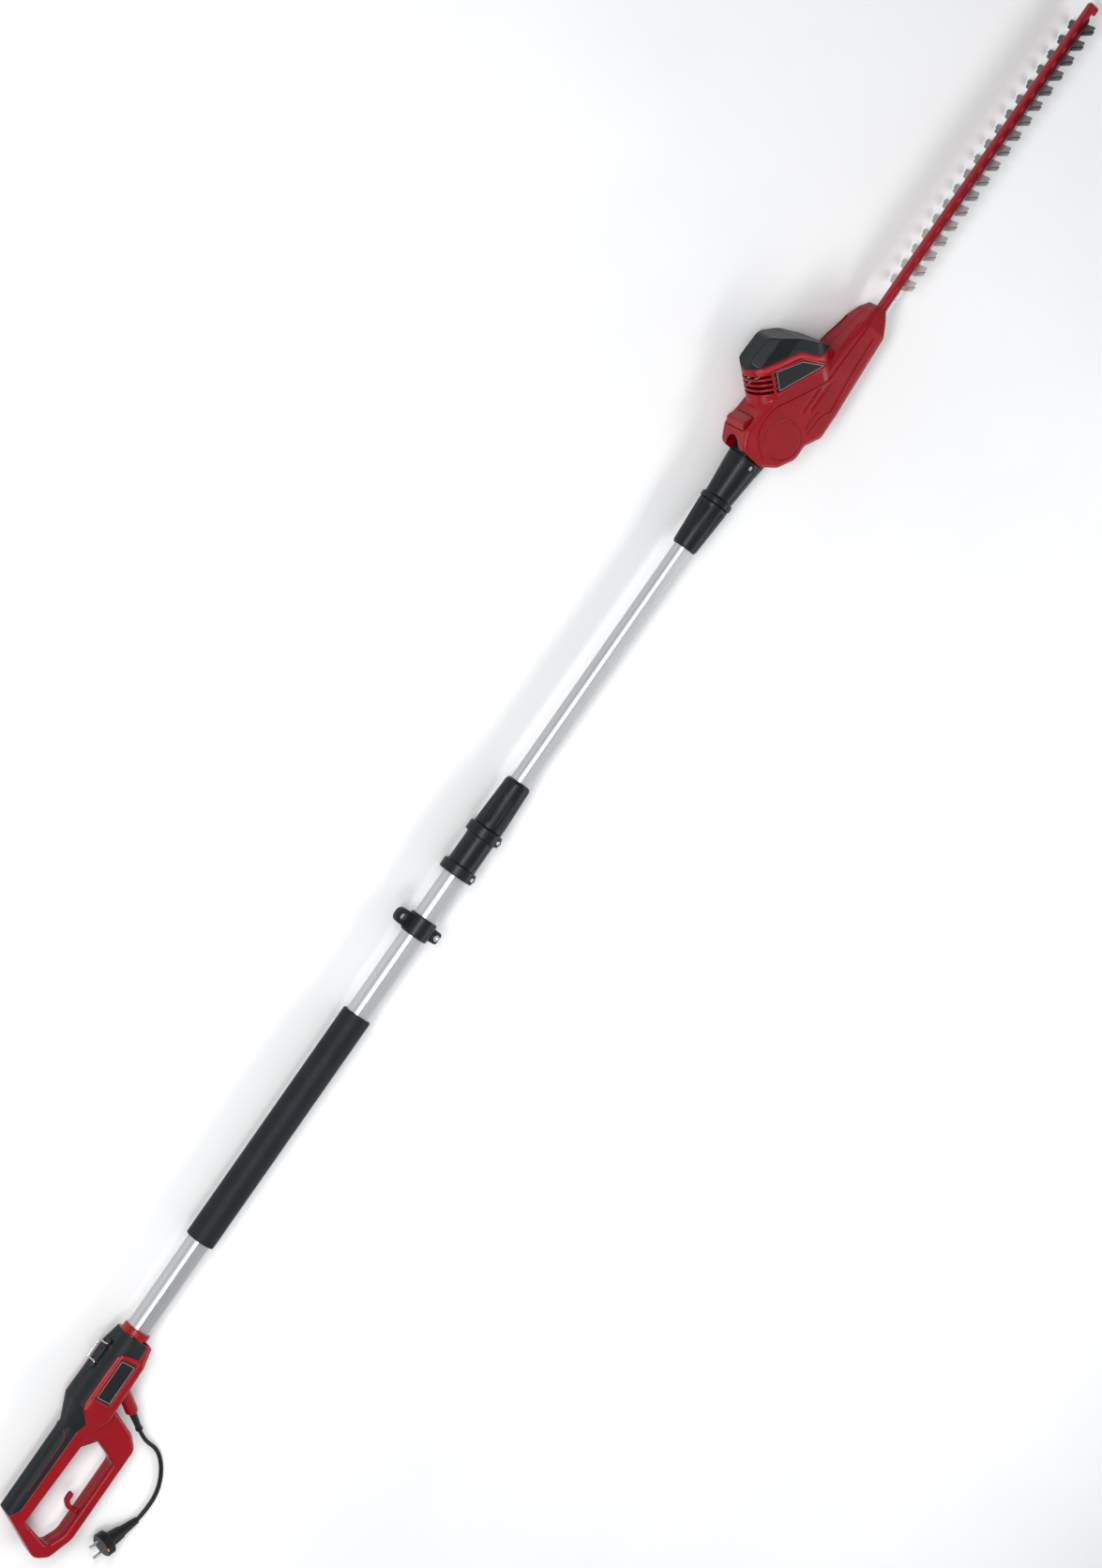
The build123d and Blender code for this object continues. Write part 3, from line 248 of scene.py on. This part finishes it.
def make_materials():
    plastic("red_plastic", (0.23, 0.001, 0.005), (0.29, 0.0015, 0.008), (0.25, 0.34), coat=0.1)
    plastic("black_plastic", (0.004, 0.006, 0.008), (0.007, 0.010, 0.012), (0.34, 0.45), coat=0.04)
    plastic("soft_black", (0.004, 0.007, 0.009), (0.008, 0.011, 0.014), (0.46, 0.58), texture=900,
            relief=0.3)
    plastic("foam", (0.004, 0.007, 0.009), (0.008, 0.011, 0.014), (0.5, 0.62), texture=520, relief=0.5)
    plastic("lead_black", (0.005, 0.005, 0.005), (0.009, 0.009, 0.009), (0.36, 0.46), texture=2000,
            relief=0.08)
    plastic("label", (0.008, 0.009, 0.011), (0.012, 0.014, 0.016), (0.3, 0.38), coat=0.02, relief=0.02)
    plastic("border_grey", (0.24, 0.25, 0.26), (0.3, 0.31, 0.32), (0.3, 0.4), relief=0.02)
    plastic("seam_red", (0.10, 0.003, 0.006), (0.14, 0.004, 0.008), (0.35, 0.45), relief=0.05)
    # A lighter red that paints a highlight along the cap band.
    plastic("painted_highlight_red", (0.36, 0.02, 0.03), (0.42, 0.026, 0.04), (0.3, 0.4), relief=0.05)
    plastic("carbon", (0.02, 0.02, 0.02), (0.04, 0.04, 0.04), (0.6, 0.8), relief=0.4)
    plastic("nylon", (0.42, 0.4, 0.34), (0.52, 0.49, 0.42), (0.4, 0.5))
    metal("silver_tube", (0.47, 0.475, 0.49), (0.57, 0.575, 0.59), (0.34, 0.44), (0.03, 1, 1),
          metallic=0.85)
    metal("bright_steel", (0.62, 0.62, 0.64), (0.75, 0.75, 0.77), (0.16, 0.28))
    metal("red_metal", (0.30, 0.003, 0.012), (0.38, 0.004, 0.016), (0.24, 0.32), (0.05, 1, 1), 0.03, 0.5)
    MATERIALS["red_metal"].node_tree.nodes["Principled BSDF"].inputs["Coat Weight"].default_value = 0.3
    metal("gear_steel", (0.3, 0.3, 0.31), (0.4, 0.4, 0.41), (0.3, 0.42))
    metal("lamination", (0.1, 0.1, 0.11), (0.18, 0.18, 0.19), (0.45, 0.6), (1, 30, 1), 0.3)
    metal("copper", (0.5, 0.2, 0.08), (0.62, 0.28, 0.12), (0.3, 0.4), (1, 30, 1), 0.3)
    metal("bronze", (0.2, 0.13, 0.06), (0.28, 0.19, 0.09), (0.35, 0.5))
    metal("die_cast", (0.42, 0.43, 0.44), (0.52, 0.53, 0.54), (0.4, 0.55), relief=0.3)
    blade_material()


# ---- pieces made from the frame -------------------------------------------------------------
def paint(obj, name):
    obj.data.materials.clear()
    obj.data.materials.append(MATERIALS[name])


def link(name, mesh, body, material):
    obj = bpy.data.objects.new(name, mesh)
    bpy.context.scene.collection.objects.link(obj)
    paint(obj, material)
    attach(obj, body)
    return obj


def clean_copy(node):
    """A CAD node's mesh with its seams welded and its flat areas joined into single faces."""
    mesh = NODES[node].data.copy()
    shape = bmesh.new()
    shape.from_mesh(mesh)
    bmesh.ops.remove_doubles(shape, verts=shape.verts, dist=2e-6)
    bmesh.ops.dissolve_limit(shape, angle_limit=radians(0.4), verts=shape.verts, edges=shape.edges)
    for face in shape.faces:
        face.smooth = True
    shape.to_mesh(mesh)
    shape.free()
    return mesh


def apply_modifiers(obj):
    graph = bpy.context.evaluated_depsgraph_get()
    mesh = bpy.data.meshes.new_from_object(obj.evaluated_get(graph))
    obj.modifiers.clear()
    obj.data = mesh


def crisp(node, width, angle=32, segments=2):
    """Stands for a CAD node, with every sharp edge eased by a small radius."""
    obj = link(node + "_look", clean_copy(node), BODY_OF[node], SLOT_OF[node])
    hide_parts(node)
    bevel = obj.modifiers.new("ease", "BEVEL")
    bevel.width = width / 1000
    bevel.segments = segments
    bevel.limit_method = "ANGLE"
    bevel.angle_limit = radians(angle)
    bevel.use_clamp_overlap = True
    bevel.harden_normals = False
    apply_modifiers(obj)
    obj.data.set_sharp_from_angle(angle=radians(angle + 8))
    weight = obj.modifiers.new("even", "WEIGHTED_NORMAL")
    weight.keep_sharp = True
    apply_modifiers(obj)
    return obj


def moulded(node, voxel, rounds):
    """Stands for a moulded CAD shell, with its facets and edges softened as a moulding's are."""
    obj = link(node + "_look", clean_copy(node), BODY_OF[node], SLOT_OF[node])
    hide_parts(node)
    remesh = obj.modifiers.new("volume", "REMESH")
    remesh.mode = "VOXEL"
    remesh.voxel_size = voxel / 1000
    remesh.use_smooth_shade = True
    smooth = obj.modifiers.new("soften", "SMOOTH")
    smooth.factor = 0.5
    smooth.iterations = rounds
    thin = obj.modifiers.new("thin", "DECIMATE")
    thin.ratio = 0.3
    apply_modifiers(obj)
    for face in obj.data.polygons:
        face.use_smooth = True
    return obj


# ---- raised lines on the housings -----------------------------------------------------------
def surface_of(*objects):
    """One search tree over the shells, with the points in the row frame's metres."""
    points, faces = [], []
    for obj in objects:
        start = len(points)
        points += [v.co.copy() for v in obj.data.vertices]
        faces += [[start + i for i in face.vertices] for face in obj.data.polygons]
    return BVHTree.FromPolygons(points, faces)


def height_at(tree, x, y, side):
    """How far out the surface stands at one point of the side view, or None."""
    start = at(x, y, side * 90)
    hit = tree.ray_cast(start, Vector((0, 0, -side)))[0]
    return None if hit is None else hit.z * 1000 + ORIGIN[2]


def rounded(points, radius, closed):
    """The polyline with its corners rounded and its runs cut into short steps."""
    out = []
    count = len(points)
    for index, (x, y) in enumerate(points):
        if not closed and index in (0, count - 1):
            out.append((x, y))
            continue
        before, after = points[index - 1], points[(index + 1) % count]
        in_length = hypot(before[0] - x, before[1] - y)
        out_length = hypot(after[0] - x, after[1] - y)
        reach = min(radius, in_length * 0.45, out_length * 0.45)
        start = (x + (before[0] - x) / in_length * reach, y + (before[1] - y) / in_length * reach)
        end = (x + (after[0] - x) / out_length * reach, y + (after[1] - y) / out_length * reach)
        for step in range(7):
            t = step / 6
            out.append(((1 - t) ** 2 * start[0] + 2 * t * (1 - t) * x + t * t * end[0],
                        (1 - t) ** 2 * start[1] + 2 * t * (1 - t) * y + t * t * end[1]))
    return stepped(out, closed)


def stepped(points, closed, step=2.0):
    out = []
    pairs = zip(points, points[1:] + points[:1]) if closed else zip(points, points[1:])
    for (x0, y0), (x1, y1) in pairs:
        parts = max(1, int(hypot(x1 - x0, y1 - y0) / step))
        out += [(x0 + (x1 - x0) * i / parts, y0 + (y1 - y0) * i / parts) for i in range(parts)]
    return out if closed else out + [points[-1]]


def ridge(name, tree, points, width, rise, body, material, side=1, radius=4.0, closed=False,
          sink=0.6):
    """A raised half-round line that follows a housing's side."""
    path = rounded(points, radius, closed)
    profile = [(-0.5, -sink), (-0.5, 0.15 * rise), (-0.32, 0.8 * rise), (0, rise), (0.32, 0.8 * rise),
               (0.5, 0.15 * rise), (0.5, -sink)]
    rows = []
    for index, (x, y) in enumerate(path):
        x0, y0 = path[index - 1] if closed or index else path[index]
        x1, y1 = path[(index + 1) % len(path)] if closed or index < len(path) - 1 else path[index]
        length = hypot(x1 - x0, y1 - y0) or 1.0
        nx, ny = -(y1 - y0) / length, (x1 - x0) / length
        middle = height_at(tree, x, y, side)
        if middle is None:
            continue
        row = []
        for across, up in profile:
            px, py = x + nx * across * width, y + ny * across * width
            base = height_at(tree, px, py, side)
            if base is None or abs(base - middle) > 2.5:
                base = middle
            highest = SIDE + RIDGE_PROUD if side > 0 else SIDE
            row.append(at(px, py, side * min(side * base + up, highest)))
        rows.append(row)
    return strip_mesh(name, rows, closed, body, material)


def strip_mesh(name, rows, closed, body, material):
    size = len(rows[0])
    points = [p for row in rows for p in row]
    faces = []
    spans = len(rows) if closed else len(rows) - 1
    for i in range(spans):
        j = (i + 1) % len(rows)
        for k in range(size):
            m = (k + 1) % size
            faces.append((i * size + k, i * size + m, j * size + m, j * size + k))
    if not closed:
        faces += [tuple(range(size)), tuple((len(rows) - 1) * size + k for k in reversed(range(size)))]
    mesh = bpy.data.meshes.new(name)
    mesh.from_pydata(points, [], faces)
    shape = bmesh.new()
    shape.from_mesh(mesh)
    bmesh.ops.recalc_face_normals(shape, faces=shape.faces)
    shape.to_mesh(mesh)
    shape.free()
    for face in mesh.polygons:
        face.use_smooth = True
    mesh.set_sharp_from_angle(angle=radians(50))
    return link(name, mesh, body, material)


def inset(points, amount):
    """A convex polygon with its corners moved towards its centre, or away where the amount is negative."""
    cx = sum(p[0] for p in points) / len(points)
    cy = sum(p[1] for p in points) / len(points)
    out = []
    for x, y in points:
        length = hypot(x - cx, y - cy)
        out.append((x + (cx - x) / length * amount, y + (cy - y) / length * amount))
    return out


# ---- the handle -----------------------------------------------------------------------------
def make_handle():
    shells = [moulded("handle_shell_right", 0.9, 5), moulded("handle_shell_left", 0.9, 5)]
    grips = [moulded("soft_grip_right", 0.7, 4), moulded("soft_grip_left", 0.7, 4)]
    plate = crisp("handle_plate", 0.3)
    tree = surface_of(*shells, *grips)
    for side, label in ((1, "right"), (-1, "left")):
        frame_line = [(213.0, -16.0), (288.0, -16.0), (288.0, 16.0), (213.0, 16.0)]
        ridge(f"plate_frame_{label}", tree, frame_line, 4.0, RIDGE_PROUD, "handle", "red_plastic",
              side, 3.5, True)
        seam = [(50, 6), (138, 6), (148, 10), (156, 24), (158, 34)]
        ridge(f"grip_seam_{label}", tree, seam, 1.6, 0.4, "handle", "seam_red", side, 5.0)
    plate_tree = surface_of(plate)
    border = inset(HANDLE_PLATE, 3.2)
    ridge("handle_plate_border", plate_tree, border, 0.8, 0.12, "handle", "border_grey", 1, 1.5,
          True, 0.2)
    for node in ("trigger", "lock_off_button", "ring_bracket", "bend_protector"):
        crisp(node, 0.6)
    for node in ("strap_ring", "handle_screws"):
        crisp(node, 0.15)


# ---- the head -------------------------------------------------------------------------------
HEAD_LINES = (
    ("hood_line", [(1866, -4), (1874, 12), (1886, 25), (1898, 31), (1915, 32), (1935, 29), (1950, 18),
                   (1985, -4), (1997, -11), (2013, -20), (2060, -23), (2122, -27)], 4.0, 1.8),
    ("lower_line", [(1978, -53), (2010, -50), (2040, -47), (2100, -45)], 3.4, 1.6),
    ("belly_line_upper", [(1936, -35), (1962, -34), (1968, -37)], 3.0, 1.3),
    ("belly_line_lower", [(1933, -42), (1962, -43), (1972, -48), (1980, -55)], 3.0, 1.3),
    ("snout_line", [(2052, -6), (2084, -10), (2115, -16)], 2.6, 1.2),
)
DISC_R = 29.5
CAP_BAND = [(1956, 85), (2014, 48), (2026, 19), (2034, 9)]


def circle(cx, cy, radius, count=48):
    turns = [radians(360 * i / count) for i in range(count)]
    return [(cx + radius * cos(turn), cy + radius * sin(turn)) for turn in turns]


def make_head():
    shells = [moulded("head_shell_right", 0.9, 5), moulded("head_shell_left", 0.9, 5)]
    moulded("motor_cap", 0.8, 5)
    plate = crisp("head_plate", 0.3)
    tree = surface_of(*shells)
    for side, label in ((1, "right"), (-1, "left")):
        rim = inset(HEAD_PLATE, -4.0)
        ridge(f"plate_rim_{label}", tree, rim, 4.0, RIDGE_PROUD, "head", "red_plastic", side,
              3.0, True)
        ridge(f"pivot_disc_{label}", tree, circle(*PIVOT, DISC_R), 2.4, 0.9, "head", "red_plastic",
              side, 4.0, True)
        for name, line, width, rise in HEAD_LINES:
            ridge(f"{name}_{label}", tree, line, width, rise, "head", "red_plastic",
                  side, 7.0)
        # The cap band's lighter red is a painted highlight.
        ridge(f"cap_band_{label}", tree, CAP_BAND, 6.0, RIDGE_PROUD, "head", "painted_highlight_red", side, 8.0)
    border = inset(HEAD_PLATE, 3.6)
    ridge("head_plate_border", surface_of(plate), border, 0.8, 0.12, "head", "border_grey", 1, 1.5,
          True, 0.2)
    moulded("tilt_neck", 0.8, 4)
    for node in ("pivot_covers", "tilt_button"):
        crisp(node, 0.7)
    for node in ("head_screws", "neck_screws", "tilt_axle"):
        crisp(node, 0.15)


# ---- pole and blades ------------------------------------------------------------------------
def make_pole():
    for node in ("outer_tube", "inner_tube"):
        crisp(node, 0.35)
    crisp("foam_grip", 1.2, segments=3)
    for node in ("telescope_collar", "clamp_nut", "coupling_nut"):
        crisp(node, 0.8, angle=28, segments=3)
    crisp("strap_clamp", 0.8, segments=3)
    for node in ("clamp_bolt", "clamp_nut_m6", "collar_screws"):
        crisp(node, 0.2)


def make_blades():
    for node in ("upper_blade", "lower_blade"):
        crisp(node, 0.45, segments=2)
    crisp("blade_bar", 0.8, segments=3)
    crisp("blade_bolts", 0.2)


# ---- lead and plug --------------------------------------------------------------------------
LEAD_POINTS = [(198.0, -112.0, -12.0), (185.88, -133.73, -18.07), (181.5, -170.5, -27.6),
               (161.0, -196.5, -29.6), (131.0, -214.5, -29.6), (98.8, -219.0, -29.6), (74.0, -213.0, -27.2)]
LEAD_R = 3.25


def make_lead():
    curve = bpy.data.curves.new("mains_lead_line", "CURVE")
    curve.dimensions = "3D"
    curve.bevel_depth = LEAD_R / 1000
    curve.bevel_resolution = 6
    curve.resolution_u = 16
    line = curve.splines.new("NURBS")
    line.points.add(len(LEAD_POINTS) - 1)
    for point, place in zip(line.points, LEAD_POINTS):
        point.co = (*at(*place), 1.0)
    line.order_u = 3
    line.use_endpoint_u = True
    curve.use_fill_caps = True
    lead = bpy.data.objects.new("mains_lead_line", curve)
    bpy.context.scene.collection.objects.link(lead)
    curve.materials.append(MATERIALS["lead_black"])
    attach(lead, "handle")
    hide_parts("mains_lead")
    pieces = [crisp("plug_body", 0.8, segments=3), crisp("plug_pins", 0.3), crisp("earth_contacts", 0.2)]


def paint_frame():
    """Every CAD node takes the finish of its own slot."""
    for name, node in NODES.items():
        paint(node, SLOT_OF[name])


make_camera()
make_materials()
make_studio()
paint_frame()
make_handle()
make_lead()
make_pole()
make_head()
make_blades()
